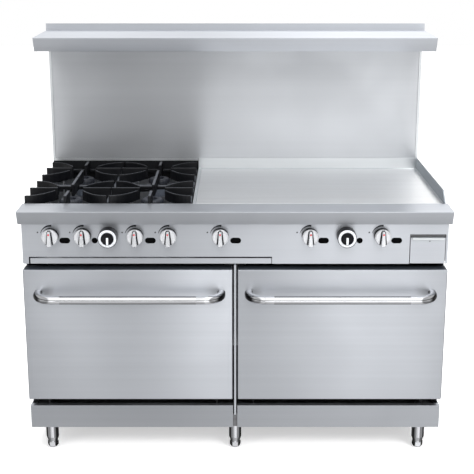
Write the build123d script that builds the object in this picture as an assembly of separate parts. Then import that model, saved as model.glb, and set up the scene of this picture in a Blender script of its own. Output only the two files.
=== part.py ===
from build123d import *
import os
from math import cos, hypot, radians

# A free-standing restaurant gas range: four open burners on the left, a griddle on the right,
# two drop-down oven doors, a back riser with a high shelf, and six adjustable legs.
# Millimetres, +Z up, +X to the right of a person facing the range, +Y towards the wall.
# The origin is on the floor, under the middle of the whole range.

# Driving dimensions
WIDTH = 1524
BODY_WIDTH = 1510
HEIGHT = 1524
LEDGE_FRONT_Y = -386
LEDGE_TOP = 934
LEDGE_FACE = 54
LEDGE_DEPTH = 130
FACE_LEAN = 22
BODY_DEPTH = 800
SHEET = 1.5
THICK_SHEET = 2
BEND = 4

# Open burners and grates
GRATE = 303
GRATE_ROW = 302
BURNER_X = (-610.5, -307.5)
BURNER_BACK = (266, 612)
GRATE_BACK = (283.5, 585.5)
HEAD_TOP = 916
PORT_RING = 42.5
OPEN_CENTRE = 46
COOKTOP_SPLIT = -155
GRATE_TOP = 958
GRATE_BOTTOM = 912
GRATE_GAP = 0.6
GRATE_LIFT_CLEARANCE = 0.4

# Griddle
GRIDDLE_TOP = 927
GRIDDLE_PLATE = 20
GRIDDLE_FRONT = 150
GRIDDLE_REAR = 735
SPLASH_TOP = 972
SPLASH = 5

# Front panel
PANEL_BACK = 50
PANEL_BOTTOM = 730
PANEL_TOP = 879.5
KNOB_Z = 834
BURNER_KNOB_X = (-652, -538, -353, -236)
GRIDDLE_KNOB_X = (-52, 265, 520)
DIAL_X = (-447, 393)
KNOB_RADIUS = 29.5
DIAL_RADIUS = 34
KNOB_DEPTH = 44
KNOB_GAP = 3
KNOB_GRIP = 20
STEM_RADIUS = 4
RUNNING_FIT = 0.05
SIGHT_Z = 816
SLOT_X = (-603, -300, 2, 313, 572)
SIGHT_HOLE_X = (-497, 441)
SLOT_LENGTH = 38
SLOT_HEIGHT = 21

# Pull-out crumb tray and grease drawer
TRAY_X = (-728, 129)
TRAY_Z = (731, 751)
TRAY_REAR = 690
TRAY_GAP = 5
DRAWER_X = (618, 745)
DRAWER_Z = (732, 830)
DRAWER_REAR = 350

# Doors and ovens
DOOR_X = (9, 755)
DOOR_Z = (215, 712)
DOOR_FRONT = 34
DOOR_SHELL = 52
DOOR_LINER = 2.5
PIVOT_BACK = 80
PIVOT_Z = 236
PIN_RADIUS = 4
HINGE_X = (DOOR_X[0] + 60, DOOR_X[1] - 60)
DOOR_SWING_BACK = 106
HANDLE_BACK = -38
HANDLE_Z = 624
HANDLE_RADIUS = 14.5
HANDLE_END_RADIUS = 15.5
HANDLE_POST_X = (49, 702)
HANDLE_BEND = 60
HANDLE_SLEEVE = 28
OVEN_X = (45, 718)
OVEN_Z = (272, 642)
OVEN_FRONT = 93
OVEN_REAR = 745
RACK_Z = 452

# Back riser and shelf
RISER_BACK = 740
SHELF_FRONT = 447
SHELF_TOP = 1494
SHELF_LIP = 57

# Base and legs
KICK_BACK = 54
KICK_Z = (94, 181)
LEG_X = (-684, 0, 684)
LEG_BACK = (86, 700)
LEG_RADIUS = 24

# Gas pipework
PIPE_RADIUS = 13.35
PIPE_BACK = 100
PIPE_Z = 800
INLET_X = 585
INLET_END = 825.5
COUPLING_RADIUS = 17
COUPLING_BACK = (765, 802.5)


def back(distance):
    """Y of a place that lies the given distance behind the front edge of the ledge."""
    return LEDGE_FRONT_Y + distance


def block(x, y, z):
    """A box between two X values, two distances behind the ledge edge, and two heights."""
    centre = Pos((x[0] + x[1]) / 2, back((y[0] + y[1]) / 2), (z[0] + z[1]) / 2)
    return centre * Box(x[1] - x[0], y[1] - y[0], z[1] - z[0])


def rod_x(radius, y, z, x):
    return Pos((x[0] + x[1]) / 2, back(y), z) * Rot(0, 90, 0) * Cylinder(radius, x[1] - x[0])


def rod_y(radius, x, z, y):
    return Pos(x, back((y[0] + y[1]) / 2), z) * Rot(90, 0, 0) * Cylinder(radius, y[1] - y[0])


def rod_z(radius, x, y, z):
    return Pos(x, back(y), (z[0] + z[1]) / 2) * Cylinder(radius, z[1] - z[0])


def mirrored(x):
    """The matching pair of X values on the other side of the range."""
    return (-x[1], -x[0])


def outline_along_x(points, x, radii=None):
    """Extrudes an outline of (distance behind the ledge edge, height) points along X."""
    corners = [(back(distance), height) for distance, height in points]
    if radii is None:
        edges = Polyline(*corners, close=True)
    else:
        edges = FilletPolyline(*corners, radius=radii, close=True)
    face = make_face(Plane.YZ.offset(x[0]) * edges)
    return extrude(face, amount=x[1] - x[0], dir=(1, 0, 0))


def turn_at(points, index):
    """Positive where the path turns left at a point, negative where it turns right."""
    before, here, after = points[index - 1], points[index], points[index + 1]
    first = (here[0] - before[0], here[1] - before[1])
    second = (after[0] - here[0], after[1] - here[1])
    return first[0] * second[1] - first[1] * second[0]


def shifted_path(points, distance):
    """The points of an open path moved to its left by a distance, with mitred corners."""
    normals = []
    for start, end in zip(points, points[1:]):
        run = hypot(end[0] - start[0], end[1] - start[1])
        normals.append(((start[1] - end[1]) / run, (end[0] - start[0]) / run))
    moved = []
    for index, point in enumerate(points):
        before = normals[max(index - 1, 0)]
        after = normals[min(index, len(normals) - 1)]
        scale = distance / (1 + before[0] * after[0] + before[1] * after[1])
        moved.append((point[0] + (before[0] + after[0]) * scale,
                      point[1] + (before[1] + after[1]) * scale))
    return moved


def folded_sheet(path, thickness, bend, x):
    """Sheet metal folded along X: the path is its right side, the thickness lies to the left."""
    inner = shifted_path(path, thickness)
    outside = []
    inside = []
    for index in range(1, len(path) - 1):
        turns_left = turn_at(path, index) > 0
        outside.append(bend if turns_left else bend - thickness)
        inside.append(bend - thickness if turns_left else bend)
    radii = [0] + outside + [0, 0] + inside[::-1] + [0]
    return outline_along_x(path + inner[::-1], x, radii)


def base_frame():
    """The welded rails under the ovens, and the two sheets that close the bottom between them."""
    rail_z = (95, 145)
    half = BODY_WIDTH / 2 - 5
    front = block((-half, half), (60, 112), rail_z)
    rear = block((-half, half), (675, 727), rail_z)
    runs = [(-half, -half + 50), (-25, 25), (half - 50, half)]
    sheets = [(-half + 50, -25), (25, half - 50)]
    return ([front, rear] + [block(x, (112, 675), rail_z) for x in runs]
            + [block(x, (112, 675), (95, 95 + SHEET)) for x in sheets])


def side_panels():
    rear = BODY_DEPTH - 3
    front = PANEL_BACK + 2
    notch_foot = KICK_Z[1] - 2
    outline = [(56, KICK_Z[0]), (rear, KICK_Z[0]), (rear, PANEL_TOP), (front, PANEL_TOP),
               (front, PANEL_BOTTOM), (DOOR_SWING_BACK, PANEL_BOTTOM),
               (DOOR_SWING_BACK, notch_foot), (56, notch_foot)]
    half = BODY_WIDTH / 2
    right = outline_along_x(outline, (half - SHEET, half))
    left = outline_along_x(outline, (-half, -half + SHEET))
    return [left, right]


def rear_panel():
    half = BODY_WIDTH / 2
    sheet = block((-half, half), (BODY_DEPTH - SHEET, BODY_DEPTH), (96, PANEL_TOP))
    return sheet - rod_y(COUPLING_RADIUS + 2, INLET_X, PIPE_Z, (790, 810))


def centre_post():
    return block((-3.5, 3.5), (DOOR_FRONT, 106), (154, 728))


def front_ledge():
    path = [(62, LEDGE_TOP - LEDGE_FACE), (FACE_LEAN, LEDGE_TOP - LEDGE_FACE), (0, LEDGE_TOP),
            (LEDGE_DEPTH, LEDGE_TOP), (LEDGE_DEPTH, LEDGE_TOP - 29)]
    return folded_sheet(path[::-1], THICK_SHEET, BEND, (-WIDTH / 2, WIDTH / 2))


def sight_slot(x):
    straight = SLOT_LENGTH / 2 - SLOT_HEIGHT / 2
    depth = (PANEL_BACK - 2, PANEL_BACK + 5)
    slot = block((x - straight, x + straight), depth,
                 (SIGHT_Z - SLOT_HEIGHT / 2, SIGHT_Z + SLOT_HEIGHT / 2))
    for side in (-1, 1):
        slot += rod_y(SLOT_HEIGHT / 2, x + side * straight, SIGHT_Z, depth)
    return slot


def control_panel():
    half = BODY_WIDTH / 2 - SHEET - 0.5
    plate = block((-half, half), (PANEL_BACK, PANEL_BACK + SHEET), (PANEL_BOTTOM, PANEL_TOP))
    cut = (PANEL_BACK - 2, PANEL_BACK + 5)
    plate -= block((TRAY_X[0] - TRAY_GAP, TRAY_X[1] + 2), cut,
                   (PANEL_BOTTOM - 2, TRAY_Z[1] + TRAY_GAP))
    plate -= block((DRAWER_X[0] - 2, DRAWER_X[1] + 2), cut,
                   (PANEL_BOTTOM - 2, DRAWER_Z[1] + 9))
    for x in BURNER_KNOB_X + GRIDDLE_KNOB_X + DIAL_X:
        plate -= rod_y(STEM_RADIUS + 2, x, KNOB_Z, cut)
    for x in SLOT_X:
        plate -= sight_slot(x)
    for x in SIGHT_HOLE_X:
        plate -= rod_y(SLOT_HEIGHT / 2, x, SIGHT_Z, cut)
    return plate


def kick_plates():
    half = BODY_WIDTH / 2
    path = [(76, KICK_Z[1]), (KICK_BACK, KICK_Z[1]), (KICK_BACK, KICK_Z[0])]
    spans = [(-half, -8), (8, half)]
    return [folded_sheet(path, SHEET, 3, x) for x in spans]


def leg_tube(x, y):
    """A tube that tapers at its lower end, with a blind bore for the foot's stem."""
    stem = 8 + RUNNING_FIT
    profile = Polyline((stem, 25), (18.8, 25), (18.8, 30), (LEG_RADIUS, 46), (LEG_RADIUS, 94),
                       (0, 94), (0, 90), (stem, 90), close=True)
    return Pos(x, back(y), 0) * revolve(make_face(Plane.XZ * profile), Axis.Z)


def foot(x, y):
    """A hexagonal bullet foot with a domed underside and a stem that screws into the leg."""
    dome = Plane.XZ * make_face(Polyline((0, 0), (9, 0), (16, 4.5), (20.5, 12), (20.5, 24.6),
                                         (8, 24.6), (8, 86), (0, 86), close=True))
    hexagon = extrude(RegularPolygon(radius=20.8, side_count=6), amount=24.6)
    hexagon += Pos(0, 0, 24.6) * extrude(Circle(8), amount=70)
    return Pos(x, back(y), 0) * (revolve(dome, Axis.Z) & hexagon)


def riser_panel():
    """The riser's stainless front skin, with side and top returns and a proud border."""
    half = BODY_WIDTH / 2
    cap = SHELF_TOP - THICK_SHEET
    front = block((-half, half), (RISER_BACK, RISER_BACK + SHEET), (LEDGE_TOP - 50, cap))
    top = block((-half, half), (RISER_BACK, BODY_DEPTH - SHEET), (cap - SHEET, cap))
    skin = front + top
    for x in ((-half, -half + SHEET), (half - SHEET, half)):
        skin += block(x, (RISER_BACK, BODY_DEPTH - SHEET), (LEDGE_TOP - 50, cap))
    for x in ((-half, -half + 10), (half - 10, half)):
        skin += block(x, (RISER_BACK - 3, RISER_BACK), (SPLASH_TOP, cap))
    return skin


def riser_back():
    half = BODY_WIDTH / 2
    sheet = block((-half, half), (BODY_DEPTH - SHEET, BODY_DEPTH), (PANEL_TOP, SHELF_TOP - 2))
    for step in range(10):
        x = -405 + step * 90
        sheet -= block((x - 30, x + 30), (790, 810), (1400, 1408))
        sheet -= block((x - 30, x + 30), (790, 810), (1425, 1433))
    return sheet


def high_shelf():
    """The shelf with its leaning front lip, closed ends and the low upturn at its rear."""
    half = WIDTH / 2
    lip_foot = SHELF_FRONT + FACE_LEAN
    path = [(lip_foot + 22, SHELF_TOP - SHELF_LIP), (lip_foot, SHELF_TOP - SHELF_LIP),
            (SHELF_FRONT, SHELF_TOP), (RISER_BACK - 4, SHELF_TOP), (RISER_BACK - 4, HEIGHT)]
    shelf = folded_sheet(path[::-1], THICK_SHEET, BEND, (-half, half))
    end = [(SHELF_FRONT + 2, SHELF_TOP - 3), (lip_foot + 1, SHELF_TOP - SHELF_LIP + 1),
           (RISER_BACK - 6, SHELF_TOP - SHELF_LIP + 1), (RISER_BACK - 6, SHELF_TOP - 1)]
    for x in ((-half, -half + SHEET), (half - SHEET, half)):
        shelf += outline_along_x(end, x)
    return shelf


def burner_box():
    """The walls round the open burners, the rails that carry the grates, and the burner bars."""
    left = -BODY_WIDTH / 2
    right = COOKTOP_SPLIT
    depth = (132, 738)
    walls = [block((left, left + SHEET), depth, (884, GRATE_BOTTOM - 1)),
             block((right, right + SHEET), depth, (884, GRIDDLE_TOP)),
             block((left, right + SHEET), (130.3, 132), (884, LEDGE_TOP - 2)),
             block((left, right + SHEET), (738, RISER_BACK), (884, SPLASH_TOP))]
    rest_z = (GRATE_BOTTOM - 6, GRATE_BOTTOM - GRATE_LIFT_CLEARANCE)
    middle = (BURNER_X[0] + BURNER_X[1]) / 2
    rests = [block((left + SHEET, left + 14), depth, rest_z),
             block((middle - 9, middle + 9), depth, rest_z),
             block((right - 13, right), depth, rest_z)]
    span = (left + SHEET, right)
    bars = [block(span, (y - 12, y + 12), (840, 843)) for y in (436, 700)]
    return walls + rests + bars


def finger(side_x, side_y):
    """One curved pot-support finger of a grate, from near its open centre to its side."""
    start = (side_x * 52, side_y * 38)
    middle = (side_x * 93, side_y * 88)
    end = (side_x * (GRATE / 2 - 6), side_y * 118)
    line = ThreePointArc(start, middle, end)
    band = trace(line, line_width=8)
    foot = GRATE_BOTTOM + 8
    return Pos(0, 0, foot) * extrude(band, amount=GRATE_TOP - 1 - foot)


def grate(x, y, burner_y):
    """One cast-iron grate section: a low rim, broken cross bars and four curved fingers."""
    width = GRATE - GRATE_GAP
    length = GRATE_ROW - GRATE_GAP
    rim = 12
    body = extrude(Rectangle(width, length) - Rectangle(width - 2 * rim, length - 2 * rim), amount=14)
    offset = burner_y - y
    across = Pos(0, offset) * Rectangle(width, 11)
    cross = extrude(across + Rectangle(11, length), amount=GRATE_TOP - GRATE_BOTTOM)
    cross -= Pos(0, offset, 0) * Cylinder(OPEN_CENTRE, 200)
    body = Pos(0, 0, GRATE_BOTTOM) * (body + cross)
    for side_x in (-1, 1):
        for side_y in (-1, 1):
            body += Pos(0, offset, 0) * finger(side_x, side_y)
    return Pos(x, back(y), 0) * body


def burner_head(x, y):
    """A cast ring head with a round hole in its middle and a neck below."""
    top = HEAD_TOP
    profile = Polyline((19, top), (36, top), (PORT_RING, top - 7), (PORT_RING, top - 18),
                       (33, top - 23), (33, top - 31), (19, top - 31), close=True)
    return Pos(x, back(y), 0) * revolve(make_face(Plane.XZ * profile), Axis.Z)


def burner_venturi(x, y, knob_x):
    """The cast body under a head, and the mixing tube that runs forward to its valve."""
    tube_z = 861
    body = rod_z(34, x, y, (846, HEAD_TOP - 31))
    body += block((min(x, knob_x), max(x, knob_x)), (y - 16, y + 16), (846, 876))
    body += rod_y(14, knob_x, tube_z, (128, y))
    bell = rod_y(18, knob_x, tube_z, (128, 150))
    return body + bell


def pilot_burner(x, y):
    return rod_z(3, x, y, (843, 912)) + rod_z(5, x, y, (904, 912))


def griddle_splash():
    """The welded upstands round the griddle plate: rear, right and the low left edge."""
    half = BODY_WIDTH / 2
    inner = half - SPLASH
    rear = block((COOKTOP_SPLIT + SHEET + 0.5, half), (GRIDDLE_REAR, RISER_BACK), (884, SPLASH_TOP))
    right = [(131, 884), (GRIDDLE_REAR, 884), (GRIDDLE_REAR, SPLASH_TOP), (172, SPLASH_TOP),
             (131, LEDGE_TOP + 4)]
    right_wall = outline_along_x(right, (inner, half))
    left_edge = block((COOKTOP_SPLIT + SHEET + 0.5, -141), (131, GRIDDLE_REAR), (884, GRIDDLE_TOP + 4))
    return [rear, right_wall, left_edge]


def griddle_plate():
    x = (-141, BODY_WIDTH / 2 - SPLASH)
    return block(x, (GRIDDLE_FRONT, GRIDDLE_REAR), (GRIDDLE_TOP - GRIDDLE_PLATE, GRIDDLE_TOP))


def griddle_burner(x):
    """A U-shaped tube burner that lies under the plate, fed at its front."""
    tubes = rod_y(12, x - 60, 872, (186, 686)) + rod_y(12, x + 60, 872, (186, 686))
    tubes += rod_x(10, 672, 872, (x - 58, x + 58))
    tubes += rod_x(10, 200, 872, (x - 58, x + 58))
    return tubes + rod_y(14, x, 868, (128, 207))


def grease_trough():
    """The gutter behind the ledge that leads grease from the griddle down to the drawer."""
    x = (-141, 742)
    top = 903
    trough = block(x, (132, 190), (884, top))
    trough -= block((x[0] + SHEET, x[1] - SHEET), (132 + SHEET, 190 - SHEET), (884 + SHEET, top + 5))
    chute_x = 680
    chute_y = 168
    trough += rod_z(15, chute_x, chute_y, (850, 884))
    return trough - rod_z(13, chute_x, chute_y, (840, 890))


def gas_manifold():
    """The front pipe that feeds every valve, and its run through a coupling to the rear inlet."""
    front = rod_x(PIPE_RADIUS, PIPE_BACK, PIPE_Z, (-700, INLET_X + PIPE_RADIUS))
    run = rod_y(PIPE_RADIUS, INLET_X, PIPE_Z, (PIPE_BACK, COUPLING_BACK[0] + 5))
    coupling = rod_y(COUPLING_RADIUS, INLET_X, PIPE_Z, COUPLING_BACK)
    nipple = rod_y(PIPE_RADIUS, INLET_X, PIPE_Z, (COUPLING_BACK[1], INLET_END))
    return front + run + coupling + nipple


def gas_valve(x, half_width, y, top):
    """A tapped valve body that stands on the manifold, with a bore for the knob's stem."""
    body = block((x - half_width, x + half_width), y, (PIPE_Z + PIPE_RADIUS, top))
    body += rod_y(6, x, 852, (y[1], y[1] + 8))
    return body - rod_y(STEM_RADIUS + RUNNING_FIT, x, KNOB_Z, (y[0] - 1, y[0] + 15))


def gas_valves():
    valves = [gas_valve(x, 14, (84, 114), 862) for x in BURNER_KNOB_X + GRIDDLE_KNOB_X]
    return valves + [gas_valve(x, 24, (84, 118), 872) for x in DIAL_X]


def stem(x):
    """The valve's round stem, from inside the valve to inside the knob."""
    return rod_y(STEM_RADIUS, x, KNOB_Z, (PANEL_BACK - KNOB_GAP - 14, 98))


def knob(x):
    """A round knob with a raised, tapered grip bar across its face, and its valve stem."""
    rear = PANEL_BACK - KNOB_GAP
    face = rear - KNOB_DEPTH + 14
    body = rod_y(KNOB_RADIUS, x, KNOB_Z, (face, rear))
    body = chamfer(body.edges().group_by(Axis.Y)[0], 4)
    grip = make_face(Polyline((-5, 27), (5, 27), (9.5, -30), (-9.5, -30), close=True))
    grip = extrude(Plane.XZ * grip, amount=KNOB_GRIP)
    body += Pos(x, back(face + 6), KNOB_Z) * grip
    body -= rod_y(STEM_RADIUS + RUNNING_FIT, x, KNOB_Z, (rear - 14, rear + 1))
    return [body, stem(x)]


def dial(x):
    """A round oven dial: a skirt, a wider ring and a raised pointer hub, with its stem."""
    rear = PANEL_BACK - KNOB_GAP
    body = rod_y(28, x, KNOB_Z, (rear - 30, rear))
    body += rod_y(DIAL_RADIUS, x, KNOB_Z, (rear - 40, rear - 30))
    body += rod_y(22, x, KNOB_Z, (rear - 46, rear - 40))
    body -= rod_y(STEM_RADIUS + RUNNING_FIT, x, KNOB_Z, (rear - 14, rear + 1))
    return [body, stem(x)]


def crumb_tray():
    """A shallow pan with a folded front that fills the slot under the control panel."""
    pan = block(TRAY_X, (PANEL_BACK, TRAY_REAR), TRAY_Z)
    hollow = block((TRAY_X[0] + SHEET, TRAY_X[1] - SHEET),
                   (PANEL_BACK + SHEET, TRAY_REAR - SHEET), (TRAY_Z[0] + SHEET, TRAY_Z[1] + 5))
    return pan - hollow


def grease_drawer():
    """A deep drawer that catches griddle grease, with a bent lip to pull at its top edge."""
    body = block((DRAWER_X[0] + 3, DRAWER_X[1] - 3), (PANEL_BACK + SHEET, DRAWER_REAR),
                 (DRAWER_Z[0] + 2, DRAWER_Z[1] - 4))
    body -= block((DRAWER_X[0] + 3 + SHEET, DRAWER_X[1] - 3 - SHEET),
                  (PANEL_BACK + 2 * SHEET, DRAWER_REAR - SHEET),
                  (DRAWER_Z[0] + 2 + SHEET, DRAWER_Z[1] + 5))
    front = block((DRAWER_X[0] + 5, DRAWER_X[1]), (PANEL_BACK, PANEL_BACK + SHEET), DRAWER_Z)
    lip = [(PANEL_BACK + SHEET, DRAWER_Z[1]), (PANEL_BACK - 9, DRAWER_Z[1]),
           (PANEL_BACK - 9, DRAWER_Z[1] - 12)]
    handle = folded_sheet(lip, SHEET, 2.5, (DRAWER_X[0] + 5, DRAWER_X[1]))
    return body + front + handle


def sided(x, side):
    """A pair of X values given for the right half, or its mirror image for the left half."""
    return x if side > 0 else mirrored(x)


def door_skin(side):
    """The door's outer stainless shell, open at its back, notched for the hinge arms."""
    outer = block(sided(DOOR_X, side), (DOOR_FRONT, DOOR_FRONT + DOOR_SHELL), DOOR_Z)
    outer = fillet(outer.edges().group_by(Axis.Y)[0], 3)
    inner = block(sided((DOOR_X[0] + SHEET, DOOR_X[1] - SHEET), side),
                  (DOOR_FRONT + SHEET, DOOR_FRONT + DOOR_SHELL + 5),
                  (DOOR_Z[0] + SHEET, DOOR_Z[1] - SHEET))
    shell = outer - inner
    for x in HINGE_X:
        shell -= block((side * x - 5, side * x + 5), (60, 90), (DOOR_Z[0] - 2, DOOR_Z[0] + 5))
    return shell


def door_liner(side):
    """The door's inner panel, with a drilled lug beside each hinge arm."""
    front = DOOR_FRONT + DOOR_SHELL
    panel = block(sided(DOOR_X, side), (front, front + DOOR_LINER), DOOR_Z)
    for x in HINGE_X:
        panel -= block((side * x - 5, side * x + 5), (80, 95), (DOOR_Z[0] - 2, PIVOT_Z + 14))
        lug = block((side * x + 5, side * x + 13), (PIVOT_BACK - 12, front + 0.5),
                    (PIVOT_Z - 12, PIVOT_Z + 12))
        panel += lug
        panel -= rod_x(PIN_RADIUS + RUNNING_FIT, PIVOT_BACK, PIVOT_Z,
                       (side * x + 4, side * x + 14))
    return panel


def door_gasket(side):
    """The heat seal on the door's inner panel, a rope ring that meets the oven's front frame."""
    front = DOOR_FRONT + DOOR_SHELL + DOOR_LINER
    outer = block(sided((22, 741), side), (front, front + 3), (256, 694))
    return outer - block(sided((30, 733), side), (front - 1, front + 5), (264, 686))


def handle_bar(side):
    reach = HANDLE_BEND + HANDLE_SLEEVE
    span = (HANDLE_POST_X[0] + reach, HANDLE_POST_X[1] - reach)
    return rod_x(HANDLE_RADIUS, HANDLE_BACK, HANDLE_Z, sided(span, side))


def handle_end(post_x, towards):
    """A chrome elbow from the door's face to one end of the handle bar."""
    straight = DOOR_FRONT - HANDLE_BACK - HANDLE_BEND
    joint_x = post_x + towards * (HANDLE_BEND + HANDLE_SLEEVE)
    start = (post_x, back(DOOR_FRONT), HANDLE_Z)
    corner = (post_x, back(DOOR_FRONT - straight), HANDLE_Z)
    diagonal = HANDLE_BEND * (1 - cos(radians(45)))
    middle = (post_x + towards * diagonal,
              back(HANDLE_BACK + diagonal), HANDLE_Z)
    turned = (post_x + towards * HANDLE_BEND, back(HANDLE_BACK), HANDLE_Z)
    joint = (joint_x, back(HANDLE_BACK), HANDLE_Z)
    path = Line(start, corner) + ThreePointArc(corner, middle, turned) + Line(turned, joint)
    section = Plane(origin=start, z_dir=(0, -1, 0)) * Circle(HANDLE_END_RADIUS)
    return sweep(section, path=path)


def handle_ends(side):
    inner = handle_end(side * HANDLE_POST_X[0], side)
    outer = handle_end(side * HANDLE_POST_X[1], -side)
    return [inner, outer]


def door_hinges():
    """Fixed hinge arms at the foot of each door, each with a pin that carries the door's lug."""
    arms = []
    for side in (-1, 1):
        for hinge_x in HINGE_X:
            x = side * hinge_x
            arm = block((x - 3, x + 3), (PIVOT_BACK, 112), (PIVOT_Z - 8, PIVOT_Z + 8))
            arm += rod_x(8, PIVOT_BACK, PIVOT_Z, (x - 3, x + 3))
            arm += block((x - 3, x + 3), (106, 112), (145, PIVOT_Z))
            arm += rod_x(PIN_RADIUS, PIVOT_BACK, PIVOT_Z, (x, x + 12.5))
            arms.append(arm)
    return arms


def oven_liner(side):
    """An oven's steel box, open at its front, with the flange the door seals on and rack ribs."""
    wall = THICK_SHEET
    outer = block(sided((OVEN_X[0] - wall, OVEN_X[1] + wall), side),
                  (OVEN_FRONT, OVEN_REAR + wall), (OVEN_Z[0] - wall, OVEN_Z[1] + wall))
    outer += block(sided((11, 752), side), (OVEN_FRONT, OVEN_FRONT + wall), (252, 708))
    liner = outer - block(sided(OVEN_X, side), (OVEN_FRONT - 2, OVEN_REAR), OVEN_Z)
    for height in (RACK_Z - 100, RACK_Z, RACK_Z + 90):
        for x in ((OVEN_X[0], OVEN_X[0] + 10), (OVEN_X[1] - 10, OVEN_X[1])):
            liner += block(sided(x, side), (120, 740), (height - 6, height))
    return liner


def oven_floor_panel(side):
    return block(sided((OVEN_X[0] + 2, OVEN_X[1] - 2), side), (104, OVEN_REAR - 3), (272, 274))


def oven_rack(side):
    """A wire rack that rests on the middle pair of ribs."""
    x = sided((OVEN_X[0] + 4, OVEN_X[1] - 4), side)
    z = RACK_Z + 4.3
    depth = (150, 725)
    rack = rod_x(4, depth[0], z, x) + rod_x(4, depth[1], z, x)
    wires = 12
    for index in range(wires + 1):
        wire_x = x[0] + 4 + (x[1] - x[0] - 8) * index / wires
        rack += rod_y(3, wire_x, z, depth)
    return rack


def oven_burner(side):
    """A straight tube burner under the oven's floor."""
    x = side * (OVEN_X[0] + OVEN_X[1]) / 2
    return rod_y(19, x, 215, (130, 660)) + rod_y(24, x, 215, (130, 150))


def panel_screws():
    """Pan-head screws that hold the rear panel and the riser's rear sheet."""
    screws = []
    for x in (-740, -370, 0, 370, 740):
        for z in (120, 490, 860, 900, 1190, 1478):
            screws.append(rod_y(5, x, z, (BODY_DEPTH, BODY_DEPTH + 2.5)))
    return screws


nodes = {
    "base_frame": base_frame(),
    "side_panels": side_panels(),
    "rear_panel": rear_panel(),
    "centre_post": centre_post(),
    "front_ledge": front_ledge(),
    "control_panel": control_panel(),
    "kick_plates": kick_plates(),
    "leg_tubes": [leg_tube(x, y) for x in LEG_X for y in LEG_BACK],
    "riser_panel": riser_panel(),
    "riser_back": riser_back(),
    "high_shelf": high_shelf(),
    "burner_box": burner_box(),
    "griddle_plate": griddle_plate(),
    "griddle_splash": griddle_splash(),
    "griddle_burners": [griddle_burner(x) for x in (0, 303, 606)],
    "grease_trough": grease_trough(),
    "gas_manifold": gas_manifold(),
    "gas_valves": gas_valves(),
    "oven_burners": [oven_burner(side) for side in (-1, 1)],
    "oven_floor_panels": [oven_floor_panel(side) for side in (-1, 1)],
    "door_hinges": door_hinges(),
    "panel_screws": panel_screws(),
    "crumb_tray": crumb_tray(),
    "grease_drawer": grease_drawer(),
}

heads = []
venturis = []
pilots = []
for column, x in enumerate(BURNER_X):
    for row, y in enumerate(BURNER_BACK):
        heads.append(burner_head(x, y))
        venturis.append(burner_venturi(x, y, BURNER_KNOB_X[2 * column + row]))
        pilots.append(pilot_burner(x - 80, y - 24))
        place = ("front", "rear")[row] + "_" + ("left", "right")[column]
        nodes["grate_" + place] = grate(x, GRATE_BACK[row], y)
nodes["burner_heads"] = heads
nodes["burner_venturis"] = venturis
nodes["pilot_burners"] = pilots

for column, x in zip(("left", "middle", "right"), LEG_X):
    for row, y in zip(("front", "rear"), LEG_BACK):
        nodes["foot_" + row + "_" + column] = foot(x, y)

for number, x in enumerate(BURNER_KNOB_X, 1):
    nodes[f"burner_knob_{number}"] = knob(x)
for number, x in enumerate(GRIDDLE_KNOB_X, 1):
    nodes[f"griddle_knob_{number}"] = knob(x)

for name, side in (("left", -1), ("right", 1)):
    nodes[f"{name}_oven_dial"] = dial(DIAL_X[0] if side < 0 else DIAL_X[1])
    nodes[f"{name}_door_skin"] = door_skin(side)
    nodes[f"{name}_door_liner"] = door_liner(side)
    nodes[f"{name}_door_gasket"] = door_gasket(side)
    nodes[f"{name}_handle_bar"] = handle_bar(side)
    nodes[f"{name}_handle_ends"] = handle_ends(side)
    nodes[f"{name}_oven_liner"] = oven_liner(side)
    nodes[f"{name}_oven_rack"] = oven_rack(side)

os.makedirs("parts", exist_ok=True)
for node, shape in nodes.items():
    if isinstance(shape, list):
        shape = Compound(children=[Part(item.wrapped) for piece in shape for item in piece.solids()])
    export_step(shape, f"parts/{node}.step")
print(len(nodes), "nodes")
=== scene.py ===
"""The looks of a free-standing restaurant gas range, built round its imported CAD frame."""
from math import cos, hypot, pi, radians, sin

import bmesh
import bpy
from mathutils import Matrix, Vector


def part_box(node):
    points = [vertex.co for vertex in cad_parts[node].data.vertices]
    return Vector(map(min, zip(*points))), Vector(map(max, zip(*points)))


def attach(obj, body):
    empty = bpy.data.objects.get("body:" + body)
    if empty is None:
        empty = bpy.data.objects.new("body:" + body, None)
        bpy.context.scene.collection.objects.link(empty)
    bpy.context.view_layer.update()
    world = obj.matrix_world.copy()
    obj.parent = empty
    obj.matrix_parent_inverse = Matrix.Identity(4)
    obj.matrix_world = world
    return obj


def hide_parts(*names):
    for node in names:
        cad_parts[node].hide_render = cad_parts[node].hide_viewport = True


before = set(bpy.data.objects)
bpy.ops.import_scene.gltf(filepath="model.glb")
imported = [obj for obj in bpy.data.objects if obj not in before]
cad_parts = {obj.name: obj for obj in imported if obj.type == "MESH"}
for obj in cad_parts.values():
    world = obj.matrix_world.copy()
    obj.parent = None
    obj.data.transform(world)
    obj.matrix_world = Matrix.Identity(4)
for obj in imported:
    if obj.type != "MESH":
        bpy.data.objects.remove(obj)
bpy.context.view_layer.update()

# Lengths are in millimetres behind, beside and above the places read from the frame.
MM = 0.001
ROOT = "range_body"
SIDES = ("left", "right")
LEDGE_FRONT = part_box("front_ledge")[0].y
KNOBS = [f"burner_knob_{number}" for number in range(1, 5)]
KNOBS += [f"griddle_knob_{number}" for number in range(1, 4)]
DIALS = ["left_oven_dial", "right_oven_dial"]
PORT_RING = 42.5
OPEN_CENTRE = 46
GRATES = [f"grate_{row}_{side}" for row in ("front", "rear") for side in SIDES]


def at(x, depth, z):
    """A point from its X, its distance behind the ledge's front edge, and its height."""
    return Vector((x * MM, LEDGE_FRONT + depth * MM, z * MM))


def span(node):
    """A node's box as three pairs in millimetres: X, distance behind the ledge edge, and Z."""
    low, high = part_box(node)
    depths = ((low.y - LEDGE_FRONT) / MM, (high.y - LEDGE_FRONT) / MM)
    return (low.x / MM, high.x / MM), depths, (low.z / MM, high.z / MM)


def middle(pair):
    return (pair[0] + pair[1]) / 2


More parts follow.
